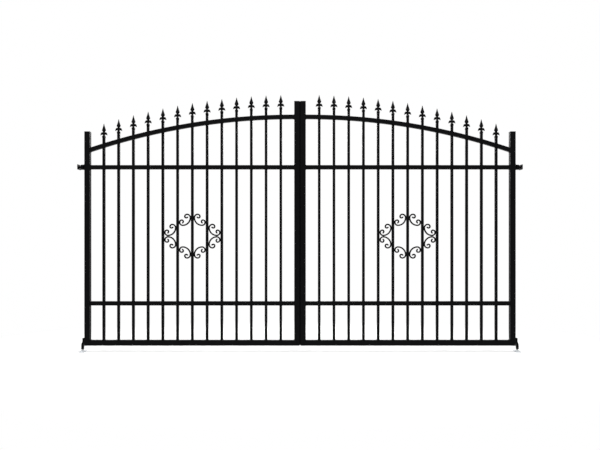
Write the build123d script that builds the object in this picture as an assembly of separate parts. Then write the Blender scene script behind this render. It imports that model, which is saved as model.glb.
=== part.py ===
from build123d import *
import os
from math import atan, degrees, sqrt

# A pair of arched swing gate leaves in welded square steel tube, with the hinge
# fixings that carry them. Sizes are in millimetres. X runs along the gate, +Y is
# the side that both leaves open to, and Z is up. The origin lies on the left hinge
# axis, on the underside of the left pivot seat.

# One leaf. Heights start at the underside of its frame and lead from rail to rail: the
# arch springs from the hinge stile above the upper rail, and each stile ends in a horn
# above the arch.
LEAF_WIDTH = 1827.0
MEETING_GAP = 6.0
GROUND_CLEARANCE = 55.0
LOWER_RAIL_HEIGHT = 358.0
RAIL_SPACING = 1158.0
ARCH_SPRING = 148.0
ARCH_RISE = 281.0
HINGE_STILE_HORN = 151.0
MEETING_STILE_HORN = 128.0

# Square tube sections
STILE_SIDE = 46.0
STILE_WALL = 2.0
STILE_CORNER = 3.0
RAIL_SIDE = 35.0
RAIL_WALL = 2.0
PICKET_SIDE = 22.0
PICKET_WALL = 1.5
PICKET_COUNT = 13
PICKET_ABOVE_ARCH = 66.0
PUNCH_CLEARANCE = 0.2

# Caps on the stiles and plugs in their feet
CAP_THICKNESS = 4.0
CAP_BEVEL = 1.5
CAP_SPIGOT = 14.0
PLUG_THICKNESS = 8.0
SPIGOT_CLEARANCE = 0.2
# A cut of this share of a corner's radius touches the middle of its arc
CORNER_CUT_SHARE = 0.586

# Spear finial on each picket, heights measured from the picket's end
FINIAL_HEIGHT = 120.0
FINIAL_SPIGOT = 16.0
COLLAR_SIDE = 26.0
COLLAR_HEIGHT = 16.0
SHANK_SIDE = 17.0
BLADE_WIDTH = 36.0
BLADE_THICKNESS = 18.0
BLADE_FOOT = 46.0
BARB_SPAN = 60.0
BARB_THICKNESS = 11.0
BARB_TOP = 48.0
BARB_ROOT = 27.0
BARB_TIP = 20.0
# Blade sections: share of the blade's length, share of its full width
BLADE_SHARES = ((0.0, 0.38), (0.26, 1.0), (0.6, 0.48), (1.0, 0.11))
# Points on the barb's curves: share of the half span, share of its own height
BARB_SHOULDER_SHARE = 0.5
BARB_BEND_SHARES = (0.84, 0.72)
BARB_HOLLOW_SHARES = (0.6, 0.22)

# Ring of eight C-scrolls round the middle picket
RING_ABOVE_LOWER_RAIL = 572.0
RING_STEP = 86.0
SCROLL_BAR = 12.0
SCROLL_SEAT = 0.15
# Outer radii of the quarter arcs of a scroll, as shares of the bay it fits
SPINE_SHARE = 0.69
SMALL_CURL_SHARES = (0.31, 0.24, 0.175, 0.19)
LARGE_CURL_SHARES = (0.335, 0.24, 0.17, 0.19)
QUARTER_TURN = 90
LAST_TURN = 74

# Top hinge: two lugs on the leaf, one eye and its plate on the post, and a pin
HINGE_SETBACK = 20.0
HINGE_PIN_DIAMETER = 16.0
PIN_CLEARANCE = 0.1
LUG_WIDTH = 30.0
LUG_THICKNESS = 12.0
EYE_THICKNESS = 17.0
EYE_CLEARANCE = 0.5
GUSSET_WIDTH = 10.0
GUSSET_HEIGHT = 20.0
GUSSET_THICKNESS = 8.0
PLATE_CLEARANCE = 5.0
PLATE_THICKNESS = 7.0
PLATE_WIDTH = 70.0
PLATE_HOLE_SPACING = 50.0
PLATE_HOLE_DIAMETER = 9.0

# Foot pivot: cranked square bar on the leaf, turned tip, and the seat it stands in
CRANK_SIDE = 20.0
CRANK_TOP = 118.0
CRANK_BEND_TOP = 88.0
CRANK_BEND_FOOT = 62.0
CRANK_BEND_RADIUS = 22.0
TIP_SHOULDER = 24.0
TIP_DIAMETER = 16.0
SEAT_DIAMETER = 34.0
SEAT_HEIGHT = 15.0
SEAT_FLOOR = 5.0
FLANGE_LENGTH = 90.0
FLANGE_WIDTH = 44.0
FLANGE_THICKNESS = 6.0
FLANGE_HOLE_SPACING = 66.0
FLANGE_HOLE_DIAMETER = 9.0

# How far every cut runs past the piece it cuts
CUT_OVERRUN = 5.0

# Places that follow from the sizes above
HINGE_FACE = HINGE_SETBACK + STILE_SIDE
MEETING_EDGE = HINGE_SETBACK + LEAF_WIDTH
MEETING_FACE = MEETING_EDGE - STILE_SIDE
RAIL_SPAN = MEETING_FACE - HINGE_FACE
GATE_CENTRE = MEETING_EDGE + MEETING_GAP / 2
BAY = (RAIL_SPAN - PICKET_COUNT * PICKET_SIDE) / (PICKET_COUNT + 1)
PICKET_PITCH = BAY + PICKET_SIDE
BOTTOM_RAIL_TOP = GROUND_CLEARANCE + STILE_SIDE
LOWER_RAIL_LEVEL = GROUND_CLEARANCE + LOWER_RAIL_HEIGHT
UPPER_RAIL_LEVEL = LOWER_RAIL_LEVEL + RAIL_SPACING
RING_LEVEL = LOWER_RAIL_LEVEL + RING_ABOVE_LOWER_RAIL
SPRING_LEVEL = UPPER_RAIL_LEVEL + ARCH_SPRING
ARCH_LEVEL = SPRING_LEVEL + ARCH_RISE
HINGE_STILE_TOP = SPRING_LEVEL + HINGE_STILE_HORN
MEETING_STILE_TOP = ARCH_LEVEL + MEETING_STILE_HORN
HINGE_LEVEL = UPPER_RAIL_LEVEL
ARCH_RADIUS = (RAIL_SPAN ** 2 + ARCH_RISE ** 2) / (2 * ARCH_RISE)
PICKET_PLACES = [
    HINGE_FACE + BAY + PICKET_SIDE / 2 + number * PICKET_PITCH
    for number in range(PICKET_COUNT)
]
RING_PICKET = PICKET_PLACES[PICKET_COUNT // 2]


def arch_height(x):
    """Height of the arch rail's centre line: an arc, level at the meeting stile."""
    reach = MEETING_FACE - x
    return ARCH_LEVEL - ARCH_RADIUS + sqrt(ARCH_RADIUS ** 2 - reach ** 2)


def picket_top(x):
    return arch_height(x) + PICKET_ABOVE_ARCH


def frame_section():
    """Section of the stiles and the bottom rail: square tube with rounded corners."""
    bore = STILE_SIDE - 2 * STILE_WALL
    return RectangleRounded(STILE_SIDE, STILE_SIDE, STILE_CORNER) - Rectangle(bore, bore)


def stile(x, top):
    """Upright of a leaf, from the underside of the frame to the cap."""
    return Pos(x, 0, GROUND_CLEARANCE) * extrude(frame_section(), top - GROUND_CLEARANCE)


def stile_cap(x, top):
    """Cap on a stile: a bevelled plate, its corners cut to the tube's, and a spigot."""
    spigot_side = STILE_SIDE - 2 * (STILE_WALL + SPIGOT_CLEARANCE)
    outline = Rectangle(STILE_SIDE, STILE_SIDE)
    outline = chamfer(outline.vertices(), STILE_CORNER * CORNER_CUT_SHARE)
    plate = extrude(outline, CAP_THICKNESS)
    plate = chamfer(plate.faces().sort_by(Axis.Z)[-1].edges(), CAP_BEVEL)
    spigot = extrude(Rectangle(spigot_side, spigot_side), -CAP_SPIGOT)
    return Pos(x, 0, top) * (plate + spigot)


def foot_plug(x):
    """Plug that closes the foot of a stile, flush with its end."""
    plug_side = STILE_SIDE - 2 * (STILE_WALL + SPIGOT_CLEARANCE)
    return Pos(x, 0, GROUND_CLEARANCE) * extrude(Rectangle(plug_side, plug_side), PLUG_THICKNESS)


def bottom_rail():
    """Heavy rail between the feet of the stiles; the pickets stand on it."""
    centre = Pos(HINGE_FACE, 0, GROUND_CLEARANCE + STILE_SIDE / 2)
    return centre * extrude(Plane.YZ * frame_section(), RAIL_SPAN)


def punched(rail):
    """Cut the square holes that the pickets pass through."""
    hole = PICKET_SIDE + 2 * PUNCH_CLEARANCE
    reach = ARCH_LEVEL + RAIL_SIDE + CUT_OVERRUN
    punches = [
        Pos(x, 0, 0) * extrude(Rectangle(hole, hole), reach)
        for x in PICKET_PLACES
    ]
    return rail - punches


def straight_rail(level):
    """Level rail between the stiles: square tube, punched for the pickets."""
    bore = RAIL_SIDE - 2 * RAIL_WALL
    section = Rectangle(RAIL_SIDE, RAIL_SIDE) - Rectangle(bore, bore)
    return punched(Pos(HINGE_FACE, 0, level) * extrude(Plane.YZ * section, RAIL_SPAN))


def arch_band(side):
    """Square bar bent to the arch, trimmed upright at both stiles."""
    ring = Circle(ARCH_RADIUS + side / 2) - Circle(ARCH_RADIUS - side / 2)
    ring = Plane.XZ * (Pos(MEETING_FACE, ARCH_LEVEL - ARCH_RADIUS) * ring)
    bar = extrude(ring, side / 2, both=True)
    window = Box(RAIL_SPAN, RAIL_SIDE + CUT_OVERRUN, ARCH_RISE + 2 * RAIL_SIDE)
    return bar & (Pos(HINGE_FACE + RAIL_SPAN / 2, 0, ARCH_LEVEL - ARCH_RISE / 2) * window)


def arch_rail():
    """Top rail: square tube rolled to an arc and punched for the pickets."""
    return punched(arch_band(RAIL_SIDE) - arch_band(RAIL_SIDE - 2 * RAIL_WALL))


def pickets():
    """Square tube pickets from the bottom rail to above the arch."""
    bore = PICKET_SIDE - 2 * PICKET_WALL
    section = Rectangle(PICKET_SIDE, PICKET_SIDE) - Rectangle(bore, bore)
    return [
        Pos(x, 0, BOTTOM_RAIL_TOP) * extrude(section, picket_top(x) - BOTTOM_RAIL_TOP)
        for x in PICKET_PLACES
    ]


def blade():
    """Spear blade: lozenge sections, hollow towards the point, widest near its foot."""
    length = FINIAL_HEIGHT - BLADE_FOOT
    # Half the distance between a lozenge's parallel sides, for the full width
    inradius = BLADE_WIDTH * BLADE_THICKNESS / (2 * sqrt(BLADE_WIDTH ** 2 + BLADE_THICKNESS ** 2))
    spans = []
    for (low, low_width), (high, high_width) in zip(BLADE_SHARES, BLADE_SHARES[1:]):
        half_width = BLADE_WIDTH * low_width / 2
        half_thickness = BLADE_THICKNESS * low_width / 2
        lozenge = Polygon(
            (half_width, 0), (0, half_thickness), (-half_width, 0), (0, -half_thickness),
            align=None,
        )
        height = length * (high - low)
        taper = degrees(atan((low_width - high_width) * inradius / height))
        spans.append(Pos(0, 0, BLADE_FOOT + length * low) * extrude(lozenge, height, taper=taper))
    return Part() + spans


def barbs():
    """Pair of side barbs that arch out from the shank and droop to points."""
    half_span = BARB_SPAN / 2
    drop = BARB_TOP - BARB_TIP
    shoulder = (half_span * BARB_SHOULDER_SHARE, BARB_TOP)
    bend = (half_span * BARB_BEND_SHARES[0], BARB_TIP + drop * BARB_BEND_SHARES[1])
    tip = (half_span, BARB_TIP)
    hollow = (half_span * BARB_HOLLOW_SHARES[0], BARB_TIP + drop * BARB_HOLLOW_SHARES[1])
    outline = [
        Line((0, BARB_TOP), shoulder),
        ThreePointArc(shoulder, bend, tip),
        ThreePointArc(tip, hollow, (0, BARB_ROOT)),
        Line((0, BARB_ROOT), (0, BARB_TOP)),
    ]
    half = make_face(outline)
    whole = half + mirror(half, about=Plane.YZ)
    return extrude(Plane.XZ * whole, BARB_THICKNESS / 2, both=True)


def finial():
    """Cast spear: spigot, square collar, shank, barbs and blade in one piece."""
    spigot_side = PICKET_SIDE - 2 * (PICKET_WALL + SPIGOT_CLEARANCE)
    spigot = extrude(Rectangle(spigot_side, spigot_side), -FINIAL_SPIGOT)
    collar = extrude(Rectangle(COLLAR_SIDE, COLLAR_SIDE), COLLAR_HEIGHT)
    shank = extrude(Rectangle(SHANK_SIDE, SHANK_SIDE), BARB_TOP)
    return spigot + collar + shank + barbs() + blade()


def finials():
    shape = finial()
    return [Pos(x, 0, picket_top(x)) * shape for x in PICKET_PLACES]


def quarter_chain(corner, heading, turn_side, radii):
    """Quarter arcs that follow on from a point on a scroll's outer edge.

    Each item is (arc centre, radius, start angle, turn). The first centre lies at
    `heading` degrees from the point, and the arcs turn left (1) or right (-1).
    """
    arcs = []
    place = Vector(*corner)
    for number, radius in enumerate(radii):
        inward = Vector(1, 0).rotate(Axis.Z, heading)
        centre = place + inward * radius
        turn = turn_side * (LAST_TURN if number == len(radii) - 1 else QUARTER_TURN)
        arcs.append((centre, radius, heading + 2 * QUARTER_TURN, turn))
        heading += turn
        place = centre - Vector(1, 0).rotate(Axis.Z, heading) * radius
    return arcs


def scroll():
    """C-scroll for the bay right of the middle picket, above the ring's centre.

    Its spine is a quarter arc from the left picket down to the lowest point, where
    the outline's own origin lies. A small curl leads on past the right picket and a
    large curl climbs back over the left one.
    """
    width = BAY - 2 * SCROLL_SEAT
    spine = width * SPINE_SHARE
    small = [width * share for share in SMALL_CURL_SHARES]
    large = [width * share for share in LARGE_CURL_SHARES]
    left_point = (-spine, spine)
    arcs = [(Vector(0, spine), spine, 2 * QUARTER_TURN, QUARTER_TURN)]
    arcs += quarter_chain((0, 0), QUARTER_TURN, 1, small)
    arcs += quarter_chain(left_point, 0, -1, large)
    edges = []
    for centre, radius, start, turn in arcs:
        edges.append(CenterArc(centre, radius, start, turn))
        edges.append(CenterArc(centre, radius - SCROLL_BAR, start, turn))
    for centre, radius, start, turn in (arcs[len(small)], arcs[-1]):
        ray = Vector(1, 0).rotate(Axis.Z, start + turn)
        edges.append(Line(centre + ray * radius, centre + ray * (radius - SCROLL_BAR)))
    face = Plane.XZ * make_face(edges)
    bar = extrude(face, SCROLL_BAR / 2, both=True)
    return Pos(PICKET_SIDE / 2 + SCROLL_SEAT + spine, 0, SCROLL_SEAT) * bar


def scroll_ring():
    """Eight scrolls: one in each of two bays, mirrored left to right and top to bottom."""
    outer = Pos(PICKET_PITCH, 0, 0) * scroll()
    inner = Pos(0, 0, RING_STEP) * scroll()
    upper = [inner, outer, mirror(inner, about=Plane.YZ), mirror(outer, about=Plane.YZ)]
    lower = [mirror(shape, about=Plane.XY) for shape in upper]
    place = Pos(RING_PICKET, 0, RING_LEVEL)
    return [place * shape for shape in upper + lower]


def eye_outline(reach, bore):
    """Flat eye: a tongue from the hinge axis out to `reach`, with a round end and a bore."""
    tongue = Pos(reach / 2, 0) * Rectangle(abs(reach), LUG_WIDTH)
    return tongue + Circle(LUG_WIDTH / 2) - Circle(bore / 2)


def hinge_lugs():
    """Two lugs welded to the stile, above and below the post's eye; a gusset on top."""
    bore = HINGE_PIN_DIAMETER + 2 * PIN_CLEARANCE
    lug = extrude(eye_outline(HINGE_SETBACK, bore), LUG_THICKNESS)
    inset = EYE_THICKNESS / 2 + EYE_CLEARANCE
    web = Polygon(
        (HINGE_SETBACK, 0), (HINGE_SETBACK, GUSSET_HEIGHT), (HINGE_SETBACK - GUSSET_WIDTH, 0),
        align=None,
    )
    gusset = extrude(Plane.XZ * web, GUSSET_THICKNESS / 2, both=True)
    upper = lug + Pos(0, 0, LUG_THICKNESS) * gusset
    return [
        Pos(0, 0, HINGE_LEVEL + inset) * upper,
        Pos(0, 0, HINGE_LEVEL - inset - LUG_THICKNESS) * lug,
    ]


def hinge_height():
    return EYE_THICKNESS + 2 * (EYE_CLEARANCE + LUG_THICKNESS)


def hinge_bracket():
    """Post half of the top hinge: a plate with two bolt holes and one thick eye."""
    face = -(STILE_SIDE / 2 + PLATE_CLEARANCE)
    plate = Pos(face - PLATE_THICKNESS / 2, 0, 0) * Box(PLATE_THICKNESS, PLATE_WIDTH, hinge_height())
    bore = HINGE_PIN_DIAMETER + 2 * PIN_CLEARANCE
    eye = extrude(eye_outline(face, bore), EYE_THICKNESS / 2, both=True)
    drill = Rot(0, QUARTER_TURN, 0) * Cylinder(PLATE_HOLE_DIAMETER / 2, 2 * (PLATE_THICKNESS + CUT_OVERRUN))
    drills = [Pos(face, side * PLATE_HOLE_SPACING / 2, 0) * drill for side in (-1, 1)]
    return Pos(0, 0, HINGE_LEVEL) * (plate + eye - drills)


def hinge_pin():
    """Pin held in the post's eye, flush with both lugs."""
    return Pos(0, 0, HINGE_LEVEL) * Cylinder(HINGE_PIN_DIAMETER / 2, hinge_height())


def pivot_pin():
    """Square bar welded flat on the stile's foot, cranked onto the hinge axis, with a turned tip."""
    limb = HINGE_SETBACK - CRANK_SIDE / 2
    route = FilletPolyline(
        (limb, CRANK_TOP),
        (limb, CRANK_BEND_TOP),
        (0, CRANK_BEND_FOOT),
        (0, TIP_SHOULDER),
        radius=CRANK_BEND_RADIUS,
    )
    bar = extrude(Plane.XZ * trace(route, CRANK_SIDE), CRANK_SIDE / 2, both=True)
    tip_end = SEAT_FLOOR + PIN_CLEARANCE
    tip = Pos(0, 0, tip_end) * extrude(Circle(TIP_DIAMETER / 2), TIP_SHOULDER - tip_end)
    return bar + tip


def pivot_seat():
    """Bolted plate on the ground with the cup that the pin's tip stands and turns in."""
    flange = extrude(Rectangle(FLANGE_WIDTH, FLANGE_LENGTH), FLANGE_THICKNESS)
    cup = extrude(Circle(SEAT_DIAMETER / 2), SEAT_HEIGHT)
    well_depth = SEAT_HEIGHT - SEAT_FLOOR + CUT_OVERRUN
    well = Pos(0, 0, SEAT_FLOOR) * extrude(Circle(TIP_DIAMETER / 2 + PIN_CLEARANCE), well_depth)
    drill = Cylinder(FLANGE_HOLE_DIAMETER / 2, 2 * (FLANGE_THICKNESS + CUT_OVERRUN))
    drills = [Pos(0, side * FLANGE_HOLE_SPACING / 2, 0) * drill for side in (-1, 1)]
    return flange + cup - [well, *drills]


hinge_stile_x = HINGE_SETBACK + STILE_SIDE / 2
meeting_stile_x = MEETING_EDGE - STILE_SIDE / 2
left_side = {
    "hinge_stile": [stile(hinge_stile_x, HINGE_STILE_TOP)],
    "hinge_stile_cap": [stile_cap(hinge_stile_x, HINGE_STILE_TOP)],
    "meeting_stile": [stile(meeting_stile_x, MEETING_STILE_TOP)],
    "meeting_stile_cap": [stile_cap(meeting_stile_x, MEETING_STILE_TOP)],
    "foot_plugs": [foot_plug(hinge_stile_x), foot_plug(meeting_stile_x)],
    "bottom_rail": [bottom_rail()],
    "lower_rail": [straight_rail(LOWER_RAIL_LEVEL)],
    "upper_rail": [straight_rail(UPPER_RAIL_LEVEL)],
    "arch_rail": [arch_rail()],
    "pickets": pickets(),
    "finials": finials(),
    "scroll_ring": scroll_ring(),
    "hinge_lugs": hinge_lugs(),
    "hinge_bracket": [hinge_bracket()],
    "hinge_pin": [hinge_pin()],
    "pivot_pin": [pivot_pin()],
    "pivot_seat": [pivot_seat()],
}

# The right leaf and its fixings mirror the left about the middle of the gate
os.makedirs("parts", exist_ok=True)
for name, shapes in left_side.items():
    mirrored = [mirror(shape, about=Plane.YZ.offset(GATE_CENTRE)) for shape in shapes]
    for side, solids in (("left", shapes), ("right", mirrored)):
        node = [solid for shape in solids for solid in shape.solids()]
        whole = node[0] if len(node) == 1 else Compound(node)
        export_step(whole, f"parts/{side}_{name}.step")
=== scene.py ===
import bpy
import bmesh
from math import atan2, cos, pi, radians, sin, sqrt
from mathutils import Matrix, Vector


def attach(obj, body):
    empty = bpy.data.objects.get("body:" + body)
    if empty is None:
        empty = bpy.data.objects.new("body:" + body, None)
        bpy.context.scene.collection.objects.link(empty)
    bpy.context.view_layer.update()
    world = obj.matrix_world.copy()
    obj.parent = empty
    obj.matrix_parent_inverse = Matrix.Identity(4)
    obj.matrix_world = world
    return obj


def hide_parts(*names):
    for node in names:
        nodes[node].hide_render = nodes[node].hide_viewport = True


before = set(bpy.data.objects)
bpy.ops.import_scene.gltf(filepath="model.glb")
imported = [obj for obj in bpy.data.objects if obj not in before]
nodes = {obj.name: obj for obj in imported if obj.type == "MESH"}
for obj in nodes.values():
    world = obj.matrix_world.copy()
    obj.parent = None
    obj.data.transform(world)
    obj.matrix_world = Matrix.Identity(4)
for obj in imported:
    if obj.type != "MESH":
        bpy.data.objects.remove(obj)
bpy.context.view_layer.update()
scene = bpy.context.scene

# Stiles and bottom rails: the welded outer frame of each leaf, in 46 mm square steel tube
# with rolled corners. The solids are kept and get the coat that the whole gate was
# sprayed with after welding.
GATE_WIDTH = 3.7
FRAME_SIDE = 0.046
HINGE_FACE = 0.066
MEETING_FACE = 1.801
MEETING_EDGE = MEETING_FACE + FRAME_SIDE
FRAME_FOOT = 0.055
FRAME_NODES = ("hinge_stile", "meeting_stile", "bottom_rail")


def linear(colour):
    """sRGB hex to the linear colour that shaders take."""
    channels = [int(colour[place:place + 2], 16) / 255 for place in (1, 3, 5)]
    return [c / 12.92 if c <= 0.04045 else ((c + 0.055) / 1.055) ** 2.4 for c in channels] + [1]


def add(tree, kind, inputs=None, **settings):
    """Add a node with its settings; an input is set, or linked where it is a socket."""
    node = tree.nodes.new(kind)
    for name, value in settings.items():
        setattr(node, name, value)
    for name, value in (inputs or {}).items():
        if isinstance(value, bpy.types.NodeSocket):
            tree.links.new(value, node.inputs[name])
        else:
            node.inputs[name].default_value = value
    return node


def begin_finish(name, slot_values):
    """New material: its tree, its shader with the constant sockets set, and Object coordinates."""
    material = bpy.data.materials.new(name)
    material.use_nodes = True
    tree = material.node_tree
    shader = tree.nodes["Principled BSDF"]
    for socket, value in slot_values.items():
        shader.inputs[socket].default_value = value
    return material, tree, shader, add(tree, "ShaderNodeTexCoord").outputs["Object"]


# Polyester powder coat, sprayed and stoved: deep satin black, with the fine orange peel
# that powder leaves as it flows, and a slow drift in gloss over a hand's breadth.
# The peel of 0.8 mm is drawn at 2 mm, because the true one is too fine to show.
PEEL_WAVE = 0.002
PEEL_DEPTH = 0.00008
PEEL_STRENGTH = 0.5
GLOSS_DRIFT = 0.09
COAT_SHEEN = {"Specular IOR Level": 0.06, "IOR": 1.5}
powder_coat, tree, shader, place = begin_finish("satin_black_powder_coat", COAT_SHEEN)
drift = add(tree, "ShaderNodeTexNoise", {"Vector": place, "Scale": 1 / GLOSS_DRIFT, "Detail": 3})
tone = add(tree, "ShaderNodeValToRGB", {"Fac": drift.outputs["Fac"]})
tone.color_ramp.elements[0].color = linear("#020203")
tone.color_ramp.elements[0].position = 0.3
tone.color_ramp.elements[1].color = linear("#050506")
tone.color_ramp.elements[1].position = 0.7
gloss = add(tree, "ShaderNodeMapRange", {
    "Value": drift.outputs["Fac"], "From Min": 0.3, "From Max": 0.7, "To Min": 0.42, "To Max": 0.52,
})
peel = add(tree, "ShaderNodeTexNoise", {"Vector": place, "Scale": 1 / PEEL_WAVE, "Detail": 1})
skin = add(tree, "ShaderNodeBump", {
    "Height": peel.outputs["Fac"], "Distance": PEEL_DEPTH, "Strength": PEEL_STRENGTH,
})
tree.links.new(tone.outputs["Color"], shader.inputs["Base Color"])
tree.links.new(gloss.outputs["Result"], shader.inputs["Roughness"])
tree.links.new(skin.outputs["Normal"], shader.inputs["Normal"])


def coat(node, finish):
    """Give a kept solid its finish."""
    piece = nodes[node]
    piece.data.materials.clear()
    piece.data.materials.append(finish)


for side in ("left", "right"):
    for name in FRAME_NODES:
        coat(f"{side}_{name}", powder_coat)

# Stile caps and foot plugs: moulded polyethylene, pressed into the open tube ends. The
# solids are kept, with their edges eased as a mould leaves them.
EDGE_EASE = 0.0006
JOIN_WITHIN = 0.00001
FLAT_WITHIN = radians(0.5)
EASED_EDGE = radians(40)

# Polyethylene from an etched mould: duller than the coat, a little greyer, with a fine grain
GRAIN = 0.0012
polyethylene, tree, shader, place = begin_finish(
    "moulded_black_polyethylene", {"Specular IOR Level": 0.08, "IOR": 1.51}
)
cloud = add(tree, "ShaderNodeTexNoise", {"Vector": place, "Scale": 1 / GLOSS_DRIFT, "Detail": 4})
tone = add(tree, "ShaderNodeValToRGB", {"Fac": cloud.outputs["Fac"]})
tone.color_ramp.elements[0].color = linear("#050506")
tone.color_ramp.elements[1].color = linear("#0a0a0b")
grain = add(tree, "ShaderNodeTexVoronoi", {"Vector": place, "Scale": 1 / GRAIN})
skin = add(tree, "ShaderNodeBump", {
    "Height": grain.outputs["Distance"], "Distance": PEEL_DEPTH, "Strength": 0.6,
})
wear = add(tree, "ShaderNodeMapRange", {
    "Value": cloud.outputs["Fac"], "To Min": 0.5, "To Max": 0.64,
})
tree.links.new(tone.outputs["Color"], shader.inputs["Base Color"])
tree.links.new(wear.outputs["Result"], shader.inputs["Roughness"])
tree.links.new(skin.outputs["Normal"], shader.inputs["Normal"])


def ease_edges(node, width):
    """Round the edges of a kept solid: its loose triangles are joined to whole faces first."""
    piece = nodes[node]
    piece.modifiers.new("join", "WELD").merge_threshold = JOIN_WITHIN
    flats = piece.modifiers.new("flats", "DECIMATE")
    flats.decimate_type = "DISSOLVE"
    flats.angle_limit = FLAT_WITHIN
    bevel = piece.modifiers.new("ease", "BEVEL")
    bevel.width = width
    bevel.segments = 2
    bevel.limit_method = "ANGLE"
    bevel.angle_limit = EASED_EDGE


for side in ("left", "right"):
    for name in ("hinge_stile_cap", "meeting_stile_cap", "foot_plugs"):
        coat(f"{side}_{name}", polyethylene)
        ease_edges(f"{side}_{name}", EDGE_EASE)

# Rails: 35 mm square tube between the stiles, two level and one rolled to an arc that
# runs level into the meeting stile. Each is cut upright at both ends and welded.
RAIL_SIDE = 0.035
RAIL_CORNER = 0.003
RAIL_LEVELS = {"lower_rail": 0.413, "upper_rail": 1.571, "arch_rail": 2.0}
ARCH_RISE = 0.281
ARCH_RADIUS = ((MEETING_FACE - HINGE_FACE) ** 2 + ARCH_RISE ** 2) / (2 * ARCH_RISE)
RAIL_STEPS = 65
CORNER_STEPS = 4
SHARP_EDGE = radians(38)


def new_tree(name, **inputs):
    """New Geometry Nodes tree with named inputs; gives the tree and its input sockets."""
    tree = bpy.data.node_groups.new(name, "GeometryNodeTree")
    for label, kind in inputs.items():
        tree.interface.new_socket(label, in_out="INPUT", socket_type="NodeSocket" + kind)
    tree.interface.new_socket("Shape", in_out="OUTPUT", socket_type="NodeSocketGeometry")
    return tree, add(tree, "NodeGroupInput").outputs


def close_tree(tree, geometry, material):
    """End a tree: real geometry in one material."""
    real = add(tree, "GeometryNodeRealizeInstances", {"Geometry": geometry})
    painted = add(tree, "GeometryNodeSetMaterial", {
        "Geometry": real.outputs["Geometry"], "Material": material,
    })
    add(tree, "NodeGroupOutput", {"Shape": painted.outputs["Geometry"]})


def grow(name, tree, sizes, start=None):
    """New piece from a tree and its sizes, as a plain mesh shaded by its own edges."""
    piece = bpy.data.objects.new(name, start or bpy.data.meshes.new(name + "_start"))
    scene.collection.objects.link(piece)
    modifier = piece.modifiers.new(name, "NODES")
    modifier.node_group = tree
    for item in tree.interface.items_tree:
        if item.in_out == "INPUT" and item.name in sizes:
            modifier[item.identifier] = sizes[item.name]
    ready = piece.evaluated_get(bpy.context.evaluated_depsgraph_get())
    shape = bpy.data.meshes.new_from_object(ready)
    piece.modifiers.clear()
    piece.data = shape
    shape.name = name
    shape.shade_smooth()
    shape.set_sharp_from_angle(angle=SHARP_EDGE)
    # Wide faces lead the shading, so that flats stay flat beside their rounded corners
    piece.modifiers.new("flats", "WEIGHTED_NORMAL").keep_sharp = True
    return piece


def arch_drop(tree, x, sizes):
    """Height of the arch at x over its own circle's centre, in a tree."""
    radius = sizes["Radius"]
    reach = add(tree, "ShaderNodeMath", {0: x, 1: sizes["Crown_X"]}, operation="SUBTRACT").outputs[0]
    reach_square = add(tree, "ShaderNodeMath", {0: reach, 1: reach}, operation="MULTIPLY").outputs[0]
    radius_square = add(tree, "ShaderNodeMath", {0: radius, 1: radius}, operation="MULTIPLY").outputs[0]
    square = add(tree, "ShaderNodeMath", {0: radius_square, 1: reach_square}, operation="SUBTRACT")
    return add(tree, "ShaderNodeMath", {0: square.outputs[0]}, operation="SQRT").outputs[0]


def rounded_square(tree, side, corner):
    """Outline of a square bar or tube with rounded corners, in a tree."""
    square = add(tree, "GeometryNodeCurvePrimitiveQuadrilateral", {"Width": side, "Height": side})
    return add(tree, "GeometryNodeFilletCurve", {
        "Curve": square.outputs["Curve"], "Radius": corner, "Count": CORNER_STEPS,
    }, mode="POLY").outputs["Curve"]


tree, sizes = new_tree(
    "rail_tube", From_X="Float", To_X="Float", Level="Float", Rolled="Bool", Crown_X="Float",
    Radius="Float", Side="Float", Corner="Float", Steps="Int", Finish="Material",
)
run = add(tree, "GeometryNodeCurvePrimitiveLine", {
    "Start": add(tree, "ShaderNodeCombineXYZ", {"X": sizes["From_X"]}).outputs[0],
    "End": add(tree, "ShaderNodeCombineXYZ", {"X": sizes["To_X"]}).outputs[0],
})
run = add(tree, "GeometryNodeResampleCurve", {"Curve": run.outputs["Curve"], "Count": sizes["Steps"]})
tube = add(tree, "GeometryNodeCurveToMesh", {
    "Curve": run.outputs["Curve"], "Fill Caps": True,
    "Profile Curve": rounded_square(tree, sizes["Side"], sizes["Corner"]),
})
here = add(tree, "ShaderNodeSeparateXYZ", {
    "Vector": add(tree, "GeometryNodeInputPosition").outputs["Position"],
}).outputs
drop = arch_drop(tree, here["X"], sizes)
# Upright slices of the tube, stretched so that it keeps its depth across the slope
below_crown = add(tree, "ShaderNodeMath", {0: drop, 1: sizes["Radius"]}, operation="SUBTRACT")
stretch = add(tree, "ShaderNodeMath", {0: sizes["Radius"], 1: drop}, operation="DIVIDE")
rolled = add(tree, "ShaderNodeMath", {
    0: here["Z"], 1: stretch.outputs[0], 2: below_crown.outputs[0],
}, operation="MULTIPLY_ADD")
height = add(tree, "GeometryNodeSwitch", {
    "Switch": sizes["Rolled"], "False": here["Z"], "True": rolled.outputs[0],
}, input_type="FLOAT").outputs["Output"]
raised = add(tree, "ShaderNodeMath", {0: height, 1: sizes["Level"]}, operation="ADD")
bent = add(tree, "GeometryNodeSetPosition", {
    "Geometry": tube.outputs["Mesh"],
    "Position": add(tree, "ShaderNodeCombineXYZ", {
        "X": here["X"], "Y": here["Y"], "Z": raised.outputs[0],
    }).outputs[0],
})
close_tree(tree, bent.outputs["Geometry"], sizes["Finish"])


def from_left(side, x):
    """Place along the gate: the right leaf mirrors the left."""
    return x if side == "left" else GATE_WIDTH - x


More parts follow.
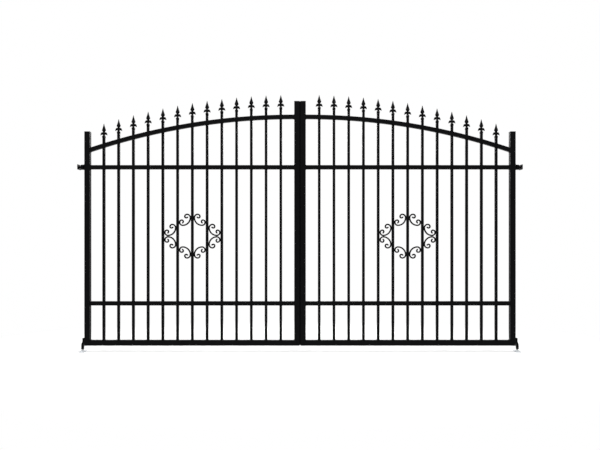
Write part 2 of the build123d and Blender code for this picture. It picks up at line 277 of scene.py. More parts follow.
for side in ("left", "right"):
    for name, level in RAIL_LEVELS.items():
        rail = grow(f"{side}_{name}_tube", tree, {
            "From_X": from_left(side, HINGE_FACE), "To_X": from_left(side, MEETING_FACE), "Level": level,
            "Rolled": name == "arch_rail", "Crown_X": from_left(side, MEETING_FACE),
            "Radius": ARCH_RADIUS, "Side": RAIL_SIDE, "Corner": RAIL_CORNER, "Steps": RAIL_STEPS,
            "Finish": powder_coat,
        })
        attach(rail, f"{side}_leaf")
        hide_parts(f"{side}_{name}")

# Pickets: thirteen 22 mm square tubes on each leaf. They stand on the bottom rail, pass
# through punched holes in the other rails and end a set height above the arch.
PICKET_SIDE = 0.022
PICKET_CORNER = 0.0018
PICKET_COUNT = 13
PICKET_ABOVE_ARCH = 0.066
BAY = (MEETING_FACE - HINGE_FACE - PICKET_COUNT * PICKET_SIDE) / (PICKET_COUNT + 1)
PICKET_PITCH = BAY + PICKET_SIDE
FIRST_PICKET = HINGE_FACE + BAY + PICKET_SIDE / 2
BOTTOM_RAIL_TOP = FRAME_FOOT + FRAME_SIDE

PICKET_ROW = dict(
    First_X="Float", Pitch="Float", Count="Int", Foot="Float", Crown_X="Float", Crown_Z="Float",
    Radius="Float", Above_arch="Float", Finish="Material",
)


def picket_row(tree, sizes):
    """Points at the feet of a leaf's pickets, and each picket's own height, in a tree."""
    row = add(tree, "GeometryNodeMeshLine", {
        "Count": sizes["Count"],
        "Start Location": add(tree, "ShaderNodeCombineXYZ", {
            "X": sizes["First_X"], "Z": sizes["Foot"],
        }).outputs[0],
        "Offset": add(tree, "ShaderNodeCombineXYZ", {"X": sizes["Pitch"]}).outputs[0],
    }, mode="OFFSET")
    here = add(tree, "ShaderNodeSeparateXYZ", {
        "Vector": add(tree, "GeometryNodeInputPosition").outputs["Position"],
    }).outputs
    drop = arch_drop(tree, here["X"], sizes)
    below_crown = add(tree, "ShaderNodeMath", {0: drop, 1: sizes["Radius"]}, operation="SUBTRACT")
    arch = add(tree, "ShaderNodeMath", {0: below_crown.outputs[0], 1: sizes["Crown_Z"]}, operation="ADD")
    top = add(tree, "ShaderNodeMath", {0: arch.outputs[0], 1: sizes["Above_arch"]}, operation="ADD")
    length = add(tree, "ShaderNodeMath", {0: top.outputs[0], 1: sizes["Foot"]}, operation="SUBTRACT")
    return row.outputs["Mesh"], length.outputs[0]


def picket_sizes(side):
    """A leaf's sizes for the trees that follow its row of pickets."""
    return {
        "First_X": from_left(side, FIRST_PICKET),
        "Pitch": PICKET_PITCH if side == "left" else -PICKET_PITCH,
        "Count": PICKET_COUNT, "Foot": BOTTOM_RAIL_TOP, "Crown_X": from_left(side, MEETING_FACE),
        "Crown_Z": RAIL_LEVELS["arch_rail"], "Radius": ARCH_RADIUS, "Above_arch": PICKET_ABOVE_ARCH,
        "Finish": powder_coat,
    }


tree, sizes = new_tree("picket_tubes", Side="Float", Corner="Float", **PICKET_ROW)
row, length = picket_row(tree, sizes)
tube = add(tree, "GeometryNodeCurveToMesh", {
    "Curve": add(tree, "GeometryNodeCurvePrimitiveLine").outputs["Curve"], "Fill Caps": True,
    "Profile Curve": rounded_square(tree, sizes["Side"], sizes["Corner"]),
})
stood = add(tree, "GeometryNodeInstanceOnPoints", {
    "Points": row, "Instance": tube.outputs["Mesh"],
    "Scale": add(tree, "ShaderNodeCombineXYZ", {"X": 1, "Y": 1, "Z": length}).outputs[0],
})
close_tree(tree, stood.outputs["Instances"], sizes["Finish"])
for side in ("left", "right"):
    pickets = grow(f"{side}_picket_tubes", tree, {
        "Side": PICKET_SIDE, "Corner": PICKET_CORNER, **picket_sizes(side),
    })
    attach(pickets, f"{side}_leaf")
    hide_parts(f"{side}_pickets")

# Finials: cast spears with a square collar, a shank, two drooping barbs and a lozenge
# blade. Each has a spigot in its picket's end and is welded round the collar.
FINIAL_HEIGHT = 0.120
COLLAR_SIDE = 0.026
COLLAR_HEIGHT = 0.016
COLLAR_EDGE = 0.002
SHANK_SIDE = 0.017
SHANK_TOP = 0.048
SHANK_TAPER = 0.001
STEM_ROUNDNESS = 9
STEM_SIDES = 24
BLADE_FOOT = 0.046
BLADE_SHOULDER = 0.0652
SHOULDER_EASE = 0.0015
BLADE_WIDTH = 0.036
BLADE_THICKNESS = 0.018
BLADE_HOLLOW = 1.25
BLADE_ROUNDNESS = 1.15
BLADE_SIDES = 16
NECK_SHARE = 0.38
SHOULDER_SHARE = 0.97
POINT_SHARE = 0.11
BARB_THICKNESS = 0.011
BARB_TOP_CURVE = ((0.015, 0.048), (0.0279, 0.04632), (0.030, 0.020))
BARB_UNDER_CURVE = ((0.0, 0.027), (0.021, 0.02882), (0.030, 0.020))
BARB_FLAT_SHARE = 0.35
BARB_POINT_SHARE = 0.02
BARB_POINT_HALF = 0.0003
BARB_ROUNDNESS = 2.6
BARB_SIDES = 16
CAST_STEPS = 12
CAST_JOIN = 0.00005


def loft(shape, rings):
    """Close a skin over rings of points, capped at both ends, in a bmesh."""
    loops = [[shape.verts.new(point) for point in ring] for ring in rings]
    for low, high in zip(loops, loops[1:]):
        for number in range(len(low)):
            after = (number + 1) % len(low)
            shape.faces.new((low[number], low[after], high[after], high[number]))
    shape.faces.new(reversed(loops[0]))
    shape.faces.new(loops[-1])


def soft_ring(across, deep, roundness, steps):
    """Points of a lozenge (roundness 1), ellipse (2) or soft square (4 and over)."""
    ring = []
    for number in range(steps):
        turn = 2 * pi * number / steps
        c, s = cos(turn), sin(turn)
        ring.append((across * abs(c) ** (2 / roundness) * (1 if c >= 0 else -1),
                     deep * abs(s) ** (2 / roundness) * (1 if s >= 0 else -1)))
    return ring


def bend(curve, share):
    """Point on a curve given by its start, its pull and its end."""
    start, pull, end = (Vector(point) for point in curve)
    return start.lerp(pull, share).lerp(pull.lerp(end, share), share)


def as_object(name, shape):
    """New object from a bmesh, with its faces turned outwards."""
    bmesh.ops.recalc_face_normals(shape, faces=shape.faces)
    mesh = bpy.data.meshes.new(name)
    shape.to_mesh(mesh)
    shape.free()
    made = bpy.data.objects.new(name, mesh)
    scene.collection.objects.link(made)
    return made


blade = bmesh.new()
sections = [
    (BLADE_FOOT, NECK_SHARE), (BLADE_SHOULDER - SHOULDER_EASE, SHOULDER_SHARE), (BLADE_SHOULDER, 1.0),
]
for number in range(1, CAST_STEPS + 1):
    share = number / CAST_STEPS
    width = (1 - share) ** BLADE_HOLLOW * (1 - POINT_SHARE) + POINT_SHARE
    sections.append((BLADE_SHOULDER + (FINIAL_HEIGHT - BLADE_SHOULDER) * share, width))
rings = []
for z, width in sections:
    across, deep = BLADE_WIDTH / 2 * width, BLADE_THICKNESS / 2 * width
    rings.append([(x, y, z) for x, y in soft_ring(across, deep, BLADE_ROUNDNESS, BLADE_SIDES)])
loft(blade, rings)
blade = as_object("finial_blade", blade)

barbs = bmesh.new()
rings = []
for number in range(-CAST_STEPS, CAST_STEPS + 1):
    share = abs(number) / CAST_STEPS
    sign = 1 if number >= 0 else -1
    if share < BARB_FLAT_SHARE:
        over = Vector((BARB_TOP_CURVE[0][0] * share / BARB_FLAT_SHARE, BARB_TOP_CURVE[0][1]))
    else:
        over = bend(BARB_TOP_CURVE, (share - BARB_FLAT_SHARE) / (1 - BARB_FLAT_SHARE))
    under = bend(BARB_UNDER_CURVE, share)
    middle = (over + under) / 2
    half = (over - under) / 2 + Vector((0, BARB_POINT_HALF))
    deep = BARB_THICKNESS / 2 * sqrt(max(1 - share ** 2, BARB_POINT_SHARE))
    rings.append([
        (sign * (middle.x + half.x * y), deep * x, middle.y + half.y * y)
        for x, y in soft_ring(1, 1, BARB_ROUNDNESS, BARB_SIDES)
    ])
loft(barbs, rings)
barbs = as_object("finial_barbs", barbs)

stem = bmesh.new()
half_collar, half_shank = COLLAR_SIDE / 2, SHANK_SIDE / 2
stem_profile = (
    (0.0, half_collar - COLLAR_EDGE / 2), (COLLAR_EDGE / 2, half_collar),
    (COLLAR_HEIGHT - COLLAR_EDGE, half_collar), (COLLAR_HEIGHT, half_collar - COLLAR_EDGE),
    (COLLAR_HEIGHT + COLLAR_EDGE, half_shank), (SHANK_TOP, half_shank - SHANK_TAPER),
)
loft(stem, [
    [(x, y, z) for x, y in soft_ring(half, half, STEM_ROUNDNESS, STEM_SIDES)]
    for z, half in stem_profile
])
stem = as_object("finial_stem", stem)

tree, sizes = new_tree("cast_finials", Blade="Object", Barbs="Object", Stem="Object", **PICKET_ROW)
row, length = picket_row(tree, sizes)
casting = add(tree, "GeometryNodeMeshBoolean", operation="UNION", solver="EXACT")
for name in ("Blade", "Barbs", "Stem"):
    source = add(tree, "GeometryNodeObjectInfo", {"Object": sizes[name]})
    tree.links.new(source.outputs["Geometry"], casting.inputs["Mesh 2"])
# The three shapes are one casting, and the points that lie too close along its joins are merged
fused = add(tree, "GeometryNodeMergeByDistance", {
    "Geometry": casting.outputs["Mesh"], "Distance": CAST_JOIN,
})
lifted = add(tree, "GeometryNodeSetPosition", {
    "Geometry": row, "Offset": add(tree, "ShaderNodeCombineXYZ", {"Z": length}).outputs[0],
})
stood = add(tree, "GeometryNodeInstanceOnPoints", {
    "Points": lifted.outputs["Geometry"], "Instance": fused.outputs["Geometry"],
})
close_tree(tree, stood.outputs["Instances"], sizes["Finish"])
for side in ("left", "right"):
    finials = grow(f"{side}_cast_finials", tree, {
        "Blade": blade, "Barbs": barbs, "Stem": stem, **picket_sizes(side),
    })
    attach(finials, f"{side}_leaf")
    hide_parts(f"{side}_finials")
for pattern in (blade, barbs, stem):
    bpy.data.objects.remove(pattern)

# Scroll rings: eight C-scrolls round the middle picket of each leaf, bent cold from
# 12 mm square bar on a former, each one fitted to a bay and tacked to its pickets.
SCROLL_BAR = 0.012
SCROLL_CORNER = 0.0012
SCROLL_SEAT = 0.00015
SPINE_SHARE = 0.69
SMALL_CURL_SHARES = (0.31, 0.24, 0.175, 0.19)
LARGE_CURL_SHARES = (0.335, 0.24, 0.17, 0.19)
LAST_TURN = radians(74)
RING_LEVEL = 0.985
RING_STEP = 0.086
SCROLL_WIDTH = BAY - 2 * SCROLL_SEAT
SPINE = SCROLL_WIDTH * SPINE_SHARE
SMALL_CURL = SCROLL_WIDTH * SMALL_CURL_SHARES[0]
ARC_STEPS = 14
END_EASE = 0.0018
END_SHARE = 0.84


def curl(start, heading, turn_side, shares):
    """Centre line of a curl: arcs that follow on from a point on the scroll's outer edge."""
    line = []
    edge = Vector(start)
    for number, share in enumerate(shares):
        radius = SCROLL_WIDTH * share
        centre = edge + radius * Vector((cos(heading), sin(heading)))
        turn = turn_side * (LAST_TURN if number == len(shares) - 1 else pi / 2)
        for step in range(1, ARC_STEPS + 1):
            ray = heading + pi + turn * step / ARC_STEPS
            line.append(centre + (radius - SCROLL_BAR / 2) * Vector((cos(ray), sin(ray))))
        heading += turn
        edge = centre - radius * Vector((cos(heading), sin(heading)))
    return line


spine_line = []
for step in range(ARC_STEPS + 1):
    ray = pi + pi / 2 * step / ARC_STEPS
    spine_line.append(Vector((0, SPINE)) + (SPINE - SCROLL_BAR / 2) * Vector((cos(ray), sin(ray))))
scroll_line = curl((-SPINE, SPINE), 0, -1, LARGE_CURL_SHARES)[::-1] + spine_line
scroll_line += curl((0, 0), pi / 2, 1, SMALL_CURL_SHARES)
scroll_curve = bpy.data.curves.new("scroll_line", "CURVE")
scroll_curve.dimensions = "3D"
spline = scroll_curve.splines.new("POLY")
spline.points.add(len(scroll_line) - 1)
for point, (x, y) in zip(spline.points, scroll_line):
    point.co = (x + SPINE + SCROLL_SEAT + PICKET_SIDE / 2, y + SCROLL_SEAT, 0, 1)
scroll_path = bpy.data.objects.new("scroll_line", scroll_curve)
scene.collection.objects.link(scroll_path)

tree, sizes = new_tree(
    "scroll_ring_bars", Line="Object", Bar="Float", Corner="Float", End_ease="Float", Pitch="Float",
    Step="Float", Centre_X="Float", Level="Float", Finish="Material",
)
line = add(tree, "GeometryNodeObjectInfo", {"Object": sizes["Line"]}).outputs["Geometry"]
along = add(tree, "GeometryNodeSplineParameter").outputs["Length"]
whole = add(tree, "GeometryNodeSplineLength").outputs["Length"]
rest = add(tree, "ShaderNodeMath", {0: whole, 1: along}, operation="SUBTRACT")
to_end = add(tree, "ShaderNodeMath", {0: along, 1: rest.outputs[0]}, operation="MINIMUM")
thick = add(tree, "ShaderNodeMapRange", {
    "Value": to_end.outputs[0], "From Max": sizes["End_ease"], "To Min": END_SHARE, "To Max": 1.0,
}, interpolation_type="SMOOTHSTEP").outputs["Result"]
line = add(tree, "GeometryNodeSetCurveNormal", {"Curve": line}, mode="Z_UP").outputs["Curve"]
bar = add(tree, "GeometryNodeCurveToMesh", {
    "Curve": line, "Profile Curve": rounded_square(tree, sizes["Bar"], sizes["Corner"]),
    "Fill Caps": True, "Scale": thick,
})
bar = add(tree, "GeometryNodeTransform", {
    "Geometry": bar.outputs["Mesh"], "Rotation": (pi / 2, 0, 0),
}).outputs["Geometry"]
ring = add(tree, "GeometryNodeJoinGeometry")
inner = add(tree, "ShaderNodeCombineXYZ", {"Z": sizes["Step"]}).outputs[0]
outer = add(tree, "ShaderNodeCombineXYZ", {"X": sizes["Pitch"]}).outputs[0]
for shift in (inner, outer):
    moved = add(tree, "GeometryNodeTransform", {"Geometry": bar, "Translation": shift})
    for across in (1, -1):
        for upright in (1, -1):
            copy = add(tree, "GeometryNodeTransform", {
                "Geometry": moved.outputs["Geometry"], "Scale": (across, 1, upright),
            }).outputs["Geometry"]
            if across * upright < 0:
                copy = add(tree, "GeometryNodeFlipFaces", {"Mesh": copy}).outputs["Mesh"]
            tree.links.new(copy, ring.inputs["Geometry"])
placed = add(tree, "GeometryNodeTransform", {
    "Geometry": ring.outputs["Geometry"],
    "Translation": add(tree, "ShaderNodeCombineXYZ", {
        "X": sizes["Centre_X"], "Z": sizes["Level"],
    }).outputs[0],
})
close_tree(tree, placed.outputs["Geometry"], sizes["Finish"])
MIDDLE_PICKET = FIRST_PICKET + PICKET_PITCH * (PICKET_COUNT // 2)
for side in ("left", "right"):
    scrolls = grow(f"{side}_scroll_bars", tree, {
        "Line": scroll_path, "Bar": SCROLL_BAR, "Corner": SCROLL_CORNER, "End_ease": END_EASE,
        "Pitch": PICKET_PITCH, "Step": RING_STEP, "Centre_X": from_left(side, MIDDLE_PICKET),
        "Level": RING_LEVEL, "Finish": powder_coat,
    })
    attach(scrolls, f"{side}_leaf")
    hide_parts(f"{side}_scroll_ring")
bpy.data.objects.remove(scroll_path)

# Welds: fillet beads laid by hand round every picket where it meets a rail, round each
# rail's ends, and as tacks where a scroll touches a picket. The coat runs over them.
BEAD_LEG = 0.0032
RAIL_BEAD_LEG = 0.004
PICKET_BEAD_STEPS = 4
RAIL_BEAD_STEPS = 8
TACK_SIZE = (0.0016, 0.005, 0.0045)
BEAD_SINK = 0.0004
BEAD_SWELL = 0.58
RIPPLE = 0.16


def bead(shape, path, leg, closed):
    """Rippled fillet bead along a path of (place, outward, upward) in a bmesh."""
    loops = []
    for number, (place, outward, upward) in enumerate(path):
        size = leg * (1 + RIPPLE * (-1) ** number)
        swell = BEAD_SWELL * size
        loops.append([
            place - outward * BEAD_SINK - upward * BEAD_SINK,
            place + outward * size - upward * BEAD_SINK,
            place + (outward + upward) * swell,
            place + upward * size - outward * BEAD_SINK,
        ])
    rings = [[shape.verts.new(point) for point in loop] for loop in loops]
    pairs = list(zip(rings, rings[1:])) + ([(rings[-1], rings[0])] if closed else [])
    for low, high in pairs:
        for corner in range(4):
            after = (corner + 1) % 4
            shape.faces.new((low[corner], low[after], high[after], high[corner]))
    if not closed:
        shape.faces.new(rings[0])
        shape.faces.new(rings[-1])


def bead_round(across, deep, leg, steps):
    """Bead round a bar of these half sides that stands on a face, its axis along Z."""
    path = []
    up = Vector((0, 0, 1))
    corners = ((across, -deep), (across, deep), (-across, deep), (-across, -deep))
    for number, start in enumerate(corners):
        end = corners[(number + 1) % 4]
        outward = Vector((end[1] - start[1], start[0] - end[0], 0)).normalized()
        for step in range(steps):
            share = (step + 0.5) / steps
            spot = Vector((*start, 0)).lerp(Vector((*end, 0)), share)
            path.append((spot, outward, up))
    shape = bmesh.new()
    bead(shape, path, leg, True)
    return shape


bead_tree, sizes = new_tree("weld_beads", Spots="Geometry", Bead="Object", Finish="Material")
source = add(bead_tree, "GeometryNodeObjectInfo", {"Object": sizes["Bead"]}).outputs["Geometry"]
turn, stretch = (
    add(bead_tree, "GeometryNodeInputNamedAttribute", {"Name": name}, data_type="FLOAT_VECTOR")
    for name in ("turn", "stretch")
)
laid = add(bead_tree, "GeometryNodeInstanceOnPoints", {
    "Points": sizes["Spots"], "Instance": source,
    "Rotation": turn.outputs["Attribute"], "Scale": stretch.outputs["Attribute"],
})
close_tree(bead_tree, laid.outputs["Instances"], sizes["Finish"])


def lay_beads(name, side, pattern, spots):
    """Lay one bead at each spot: its place, its turn and its stretch."""
    points = bpy.data.meshes.new(name + "_spots")
    points.from_pydata([place for place, turn, stretch in spots], [], [])
    for label, column in (("turn", 1), ("stretch", 2)):
        values = points.attributes.new(label, "FLOAT_VECTOR", "POINT")
        for number, spot in enumerate(spots):
            values.data[number].vector = spot[column]
    welds = grow(name, bead_tree, {"Bead": pattern, "Finish": powder_coat}, points)
    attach(welds, f"{side}_leaf")


def arch_at(x):
    """Height of the arch rail's centre line on the left leaf, and its slope."""
    reach = MEETING_FACE - x
    drop = sqrt(ARCH_RADIUS ** 2 - reach ** 2)
    return RAIL_LEVELS["arch_rail"] - ARCH_RADIUS + drop, atan2(reach, drop)


shape = bead_round(PICKET_SIDE / 2, PICKET_SIDE / 2, BEAD_LEG, PICKET_BEAD_STEPS)
picket_bead = as_object("picket_bead", shape)
shape = bead_round(RAIL_SIDE / 2, RAIL_SIDE / 2, RAIL_BEAD_LEG, RAIL_BEAD_STEPS)
rail_bead = as_object("rail_bead", shape)
tack = bmesh.new()
bmesh.ops.create_icosphere(tack, subdivisions=2, radius=1)
tack = as_object("scroll_tack", tack)
picket_places = [FIRST_PICKET + number * PICKET_PITCH for number in range(PICKET_COUNT)]
for side, hand in (("left", 1), ("right", -1)):
    spots = []
    for x in picket_places:
        at = from_left(side, x)
        spots.append(((at, 0, BOTTOM_RAIL_TOP), (0, 0, 0), (1, 1, 1)))
        for level in (RAIL_LEVELS["lower_rail"], RAIL_LEVELS["upper_rail"]):
            spots.append(((at, 0, level + RAIL_SIDE / 2), (0, 0, 0), (1, 1, 1)))
            spots.append(((at, 0, level - RAIL_SIDE / 2), (pi, 0, 0), (1, 1, 1)))
        height, slope = arch_at(x)
        half = RAIL_SIDE / 2 / cos(slope)
        spots.append(((at, 0, height + half), (0, -slope * hand, 0), (1 / cos(slope), 1, 1)))
        spots.append(((at, 0, height - half), (pi, -slope * hand, 0), (1 / cos(slope), 1, 1)))
    lay_beads(f"{side}_picket_welds", side, picket_bead, spots)
    spots = []
    for name, level in RAIL_LEVELS.items():
        for x, facing in ((HINGE_FACE, 1), (MEETING_FACE, -1)):
            height, slope = arch_at(x) if name == "arch_rail" else (level, 0)
            spot = (from_left(side, x), 0, height)
            spots.append((spot, (0, facing * hand * pi / 2, 0), (1 / cos(slope), 1, 1)))
    lay_beads(f"{side}_rail_welds", side, rail_bead, spots)
    spots = []
    for across in (1, -1):
        for upright in (1, -1):
            for x, low in ((PICKET_SIDE / 2, RING_STEP), (PICKET_SIDE / 2 + PICKET_PITCH, 0)):
                for touch, rise in ((0, SPINE), (BAY, SMALL_CURL)):
                    spot = (from_left(side, MIDDLE_PICKET) + across * (x + touch), 0,
                            RING_LEVEL + upright * (low + rise))
                    spots.append((spot, (0, 0, 0), TACK_SIZE))
    lay_beads(f"{side}_scroll_tacks", side, tack, spots)
for pattern in (picket_bead, rail_bead, tack):
    bpy.data.objects.remove(pattern)

# Corner welds: short straight beads in the corners above the bottom rail and down both
# sides of the pivot bar, which lies flat on the foot of the hinge stile. The upright seams
# at the rail's ends are filled and dressed almost flush.
STILE_FACE = 0.020
PIVOT_BAR_HALF = 0.010
PIVOT_BAR_TOP = 0.118
BEAD_STEP = 0.003
BEAD_SETBACK = 0.004
SEAM_HALF_WIDTH = 0.0035
SEAM_PROUD = 0.0004
SEAM_DEPTH = 0.004
for side, hand in (("left", 1), ("right", -1)):
    inward, through, up = Vector((hand, 0, 0)), Vector((0, 1, 0)), Vector((0, 0, 1))
    half = FRAME_SIDE / 2 - BEAD_SETBACK
    runs = [
        ((HINGE_FACE, -half, BOTTOM_RAIL_TOP), (HINGE_FACE, half, BOTTOM_RAIL_TOP), inward, up),
        ((MEETING_FACE, -half, BOTTOM_RAIL_TOP), (MEETING_FACE, half, BOTTOM_RAIL_TOP), -inward, up),
    ]
    for edge in (-1, 1):
        runs.append(((STILE_FACE, edge * PIVOT_BAR_HALF, FRAME_FOOT + BEAD_SETBACK),
                     (STILE_FACE, edge * PIVOT_BAR_HALF, PIVOT_BAR_TOP), through * edge, -inward))
    runs.append(((STILE_FACE, -PIVOT_BAR_HALF, PIVOT_BAR_TOP),
                 (STILE_FACE, PIVOT_BAR_HALF, PIVOT_BAR_TOP), up, -inward))
    shape = bmesh.new()
    for start, end, outward, upward in runs:
        start, end = (Vector((from_left(side, spot[0]), spot[1], spot[2])) for spot in (start, end))
        steps = round((end - start).length / BEAD_STEP)
        path = [(start.lerp(end, step / steps), outward, upward) for step in range(steps + 1)]
        bead(shape, path, BEAD_LEG, False)
    steps = round((FRAME_SIDE - 2 * SEAM_DEPTH) / BEAD_STEP)
    for joint in (HINGE_FACE, MEETING_FACE):
        for edge in (-1, 1):
            face = edge * FRAME_SIDE / 2
            rings = []
            for step in range(steps + 1):
                z = FRAME_FOOT + SEAM_DEPTH + BEAD_STEP * step
                proud = SEAM_PROUD * (1 + RIPPLE * (-1) ** step)
                across = (-SEAM_HALF_WIDTH, 0, SEAM_HALF_WIDTH, 0)
                level = (-BEAD_SINK, proud, -BEAD_SINK, -SEAM_DEPTH)
                rings.append([
                    (from_left(side, joint + x), face + edge * y, z) for x, y in zip(across, level)
                ])
            loft(shape, rings)
    corner_welds = as_object(f"{side}_corner_welds", shape)
    corner_welds.data.materials.append(powder_coat)
    corner_welds.data.shade_smooth()
    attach(corner_welds, f"{side}_leaf")

# Top hinges: flame-cut lugs welded to the hinge stile, and a bolted plate with one eye
# on the post, all coated with the gate. The pin between them is bare turned steel.
LUG_EASE = 0.0008
LUG_WIDTH = 0.030
LUG_THICKNESS = 0.012
LUG_OFFSET = 0.015
LUG_BEAD_LEG = 0.0026
LUG_BEAD_STEPS = 8

# Bare turned steel: bright, with rings from the tool and a warm stain from handling. Tool
# marks of 0.2 mm are drawn at 0.9 mm, because the true ones are too fine to show. At scale 1
# the wave texture's bands repeat every pi / 10 metres.
TURNING_PITCH = 0.0009
TURNING_DEPTH = 0.00005
STAIN = 0.012
turned_steel, tree, shader, place = begin_finish("turned_bare_steel", {"Metallic": 1.0})
marks = add(tree, "ShaderNodeTexWave", {
    "Vector": place, "Scale": pi / (10 * TURNING_PITCH), "Distortion": 0.6, "Detail": 2,
}, bands_direction="Z")
stain = add(tree, "ShaderNodeTexNoise", {"Vector": place, "Scale": 1 / STAIN, "Detail": 4})
tone = add(tree, "ShaderNodeValToRGB", {"Fac": stain.outputs["Fac"]})
tone.color_ramp.elements[0].color = linear("#9a9893")
tone.color_ramp.elements[1].color = linear("#c4c4c2")
dull = add(tree, "ShaderNodeMapRange", {"Value": stain.outputs["Fac"], "To Min": 0.25, "To Max": 0.5})
skin = add(tree, "ShaderNodeBump", {
    "Height": marks.outputs["Fac"], "Distance": TURNING_DEPTH, "Strength": 0.5,
})
tree.links.new(tone.outputs["Color"], shader.inputs["Base Color"])
tree.links.new(dull.outputs["Result"], shader.inputs["Roughness"])
tree.links.new(skin.outputs["Normal"], shader.inputs["Normal"])
shape = bead_round(LUG_THICKNESS / 2, LUG_WIDTH / 2, LUG_BEAD_LEG, LUG_BEAD_STEPS)
lug_bead = as_object("lug_bead", shape)
for side, hand in (("left", 1), ("right", -1)):
    spots = []
    for offset in (LUG_OFFSET, -LUG_OFFSET):
        spot = (from_left(side, STILE_FACE), 0, RAIL_LEVELS["upper_rail"] + offset)
        spots.append((spot, (0, -hand * pi / 2, 0), (1, 1, 1)))
    lay_beads(f"{side}_lug_welds", side, lug_bead, spots)
bpy.data.objects.remove(lug_bead)
for side in ("left", "right"):
    for name in ("hinge_lugs", "hinge_bracket"):
        coat(f"{side}_{name}", powder_coat)
        ease_edges(f"{side}_{name}", LUG_EASE)
    coat(f"{side}_hinge_pin", turned_steel)
    ease_edges(f"{side}_hinge_pin", LUG_EASE)

# Foot pivots: a square bar cranked under the hinge axis and welded to the stile, its tip
# turned and left bare, which stands and turns in a zinc-plated seat bolted to the ground.

# Zinc plate: pale bluish metal, with soft patches that shine a little more or less
SPANGLE = 0.006
zinc_plate, tree, shader, place = begin_finish("bright_zinc_plate", {"Metallic": 1.0})
spangle = add(tree, "ShaderNodeTexVoronoi", {"Vector": place, "Scale": 1 / SPANGLE})
tone = add(tree, "ShaderNodeValToRGB", {"Fac": spangle.outputs["Color"]})
tone.color_ramp.elements[0].color = linear("#c3c7cc")
tone.color_ramp.elements[1].color = linear("#d8dadb")
dull = add(tree, "ShaderNodeMapRange", {
    "Value": spangle.outputs["Distance"], "To Min": 0.26, "To Max": 0.42,
})
tree.links.new(tone.outputs["Color"], shader.inputs["Base Color"])
tree.links.new(dull.outputs["Result"], shader.inputs["Roughness"])

# The bar's coat stops at the shoulder of its tip, which is the same bare turned steel
TIP_SHOULDER = 0.024
COAT_OVERLAP = 0.0005
coated_bar, tree, shader, place = begin_finish("powder_coat_with_bare_tip", COAT_SHEEN)
height = add(tree, "ShaderNodeSeparateXYZ", {"Vector": place}).outputs["Z"]
bare = add(tree, "ShaderNodeMath", {
    0: height, 1: TIP_SHOULDER - COAT_OVERLAP,
}, operation="LESS_THAN").outputs[0]
stain = add(tree, "ShaderNodeTexNoise", {"Vector": place, "Scale": 1 / STAIN, "Detail": 4})
# Inputs 6 and 7 and output 2 are the ones for colours on a Mix node
tone = add(tree, "ShaderNodeMix", {
    "Factor": bare, 6: linear("#050506"), 7: linear("#b4b3b0"),
}, data_type="RGBA")
dull = add(tree, "ShaderNodeMapRange", {"Value": stain.outputs["Fac"], "To Min": 0.3, "To Max": 0.5})
peel = add(tree, "ShaderNodeTexNoise", {"Vector": place, "Scale": 1 / PEEL_WAVE, "Detail": 1})
skin = add(tree, "ShaderNodeBump", {
    "Height": peel.outputs["Fac"], "Distance": PEEL_DEPTH, "Strength": PEEL_STRENGTH,
})
tree.links.new(tone.outputs[2], shader.inputs["Base Color"])
tree.links.new(bare, shader.inputs["Metallic"])
tree.links.new(dull.outputs["Result"], shader.inputs["Roughness"])
tree.links.new(skin.outputs["Normal"], shader.inputs["Normal"])
for side in ("left", "right"):
    coat(f"{side}_pivot_pin", coated_bar)
    ease_edges(f"{side}_pivot_pin", LUG_EASE)
    coat(f"{side}_pivot_seat", zinc_plate)
    ease_edges(f"{side}_pivot_seat", LUG_EASE)

# Closing strip: a soft rubber section stuck down the left leaf's meeting edge, which shuts
# the gap between the leaves. Its rounded face just meets the other stile.
STRIP_DEPTH = GATE_WIDTH - 2 * MEETING_EDGE
STRIP_HALF_WIDTH = 0.011
STRIP_FOOT = 0.060
STRIP_TOP = 2.1305
STRIP_STEPS = 12
STRIP_EDGE_SHARE = 0.25
STRIP_FULLNESS = 0.6

# Extruded rubber: dull black, with the uneven grey bloom that it gets in the open
BLOOM = 0.04
rubber, tree, shader, place = begin_finish(
    "extruded_black_rubber", {"Specular IOR Level": 0.06, "IOR": 1.52}
)
bloom = add(tree, "ShaderNodeTexNoise", {"Vector": place, "Scale": 1 / BLOOM, "Detail": 5})
tone = add(tree, "ShaderNodeValToRGB", {"Fac": bloom.outputs["Fac"]})
tone.color_ramp.elements[0].color = linear("#040404")
tone.color_ramp.elements[1].color = linear("#0c0c0c")
dull = add(tree, "ShaderNodeMapRange", {"Value": bloom.outputs["Fac"], "To Min": 0.62, "To Max": 0.8})
tree.links.new(tone.outputs["Color"], shader.inputs["Base Color"])
tree.links.new(dull.outputs["Result"], shader.inputs["Roughness"])
strip = bmesh.new()
strip_outline = [(0.0, -STRIP_HALF_WIDTH)]
for number in range(STRIP_STEPS + 1):
    turn = -pi / 2 + pi * number / STRIP_STEPS
    swell = STRIP_EDGE_SHARE + (1 - STRIP_EDGE_SHARE) * abs(cos(turn)) ** STRIP_FULLNESS
    strip_outline.append((STRIP_DEPTH * swell, STRIP_HALF_WIDTH * sin(turn)))
strip_outline.append((0.0, STRIP_HALF_WIDTH))
loft(strip, [[(MEETING_EDGE + x, y, z) for x, y in strip_outline] for z in (STRIP_FOOT, STRIP_TOP)])
strip = as_object("left_closing_strip", strip)
strip.data.materials.append(rubber)
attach(strip, "left_leaf")

# Floor: a plain white studio sheet. Near the gate it is a white surface with a faint
# shadow, and further out it fades into the white surroundings without a horizon.
FLOOR_REACH = 40.0
FLOOR_TILES = 8
SHADOW_REACH = (3.2, 2.2)
FADE_FROM = 0.6
SHEET_GLOW = 0.42


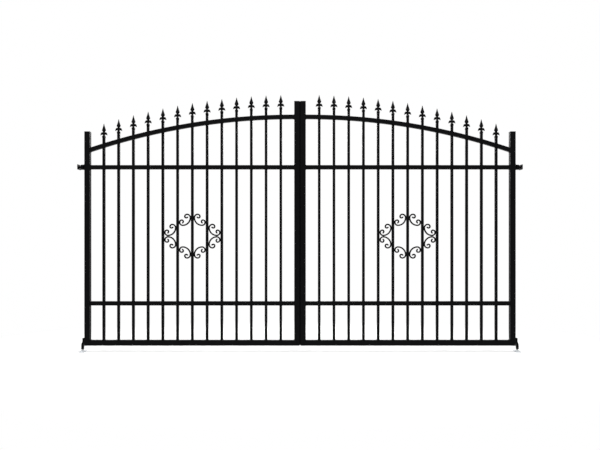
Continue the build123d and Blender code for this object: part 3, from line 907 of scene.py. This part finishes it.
def seen_rays(tree):
    """One for the rays that show the surroundings: to the eye, in reflections and through glass."""
    rays = add(tree, "ShaderNodeLightPath").outputs
    mirrored = add(tree, "ShaderNodeMath", {
        0: rays["Is Transmission Ray"], 1: rays["Is Glossy Ray"],
    }, operation="MAXIMUM")
    seen = add(tree, "ShaderNodeMath", {
        0: rays["Is Camera Ray"], 1: mirrored.outputs[0],
    }, operation="MAXIMUM")
    return seen.outputs[0]


floor = bmesh.new()
bmesh.ops.create_grid(floor, x_segments=FLOOR_TILES, y_segments=FLOOR_TILES, size=FLOOR_REACH)
floor = as_object("studio_floor", floor)
white_sheet = bpy.data.materials.new("white_studio_sheet")
white_sheet.use_nodes = True
tree = white_sheet.node_tree
tree.nodes.clear()
place = add(tree, "ShaderNodeTexCoord").outputs["Object"]
centred = add(tree, "ShaderNodeMapping", {
    "Vector": place, "Location": (-GATE_WIDTH / 2 / SHADOW_REACH[0], 0, 0),
    "Scale": (1 / SHADOW_REACH[0], 1 / SHADOW_REACH[1], 1),
})
far = add(tree, "ShaderNodeVectorMath", {0: centred.outputs["Vector"]}, operation="LENGTH")
fade = add(tree, "ShaderNodeMapRange", {
    "Value": far.outputs["Value"], "From Min": FADE_FROM, "From Max": 1.0,
}, interpolation_type="SMOOTHSTEP").outputs["Result"]
paper = add(tree, "ShaderNodeBsdfDiffuse", {"Color": linear("#e6e6e6")}).outputs["BSDF"]
glow = add(tree, "ShaderNodeEmission", {"Strength": SHEET_GLOW}).outputs["Emission"]
near = add(tree, "ShaderNodeAddShader", {0: paper, 1: glow}).outputs["Shader"]
clear = add(tree, "ShaderNodeEmission", {"Strength": 1.0}).outputs["Emission"]
shown = add(tree, "ShaderNodeMixShader", {"Fac": fade, 1: near, 2: clear}).outputs["Shader"]
both = add(tree, "ShaderNodeMixShader", {"Fac": seen_rays(tree), 1: paper, 2: shown}).outputs["Shader"]
add(tree, "ShaderNodeOutputMaterial", {"Surface": both})
floor.data.materials.append(white_sheet)

# Surroundings and lamps: white to the camera and in reflections, and half as strong as
# light on the gate, which large softboxes above, behind and at both sides model.
ROOM_LIGHT = 0.5
world = bpy.data.worlds.new("white_studio")
scene.world = world
world.use_nodes = True
tree = world.node_tree
tree.nodes.clear()
strength = add(tree, "ShaderNodeMix", {
    "Factor": seen_rays(tree), "A": ROOM_LIGHT, "B": 1.0,
}, data_type="FLOAT")
sky = add(tree, "ShaderNodeBackground", {
    "Color": linear("#ffffff"), "Strength": strength.outputs[0],
})
add(tree, "ShaderNodeOutputWorld", {"Surface": sky.outputs["Background"]})

LAMPS = {
    "overhead_softbox": ((1.85, -0.6, 4.6), (1.85, 0.0, 0.8), 2.2, 160),
    "left_softbox": ((-4.2, -2.4, 2.6), (0.6, 0.0, 1.0), 1.4, 60),
    "right_softbox": ((7.9, -2.0, 2.6), (3.1, 0.0, 1.0), 1.4, 45),
    "back_softbox": ((1.85, 5.5, 3.4), (1.85, 0.0, 1.0), 1.8, 90),
}
for name, (stand, aim, size, power) in LAMPS.items():
    lamp = bpy.data.lights.new(name, "AREA")
    lamp.size = size
    lamp.energy = power
    softbox = bpy.data.objects.new(name, lamp)
    softbox.location = stand
    softbox.rotation_euler = (Vector(aim) - Vector(stand)).to_track_quat("-Z", "Y").to_euler()
    scene.collection.objects.link(softbox)

# Camera: level and square on, opposite the middle of the gate, lifted in the frame by
# shift so that the uprights stay parallel.
CAMERA_DISTANCE = 5.3
CAMERA_HEIGHT = 0.95
camera = bpy.data.cameras.new("square_on")
camera.sensor_width = 36.0
camera.lens = 37.34
camera.shift_y = 0.0254
viewpoint = bpy.data.objects.new("square_on", camera)
viewpoint.location = (GATE_WIDTH / 2, -CAMERA_DISTANCE, CAMERA_HEIGHT)
viewpoint.rotation_euler = (pi / 2, 0, 0)
scene.collection.objects.link(viewpoint)
scene.camera = viewpoint
scene.view_settings.view_transform = "Standard"
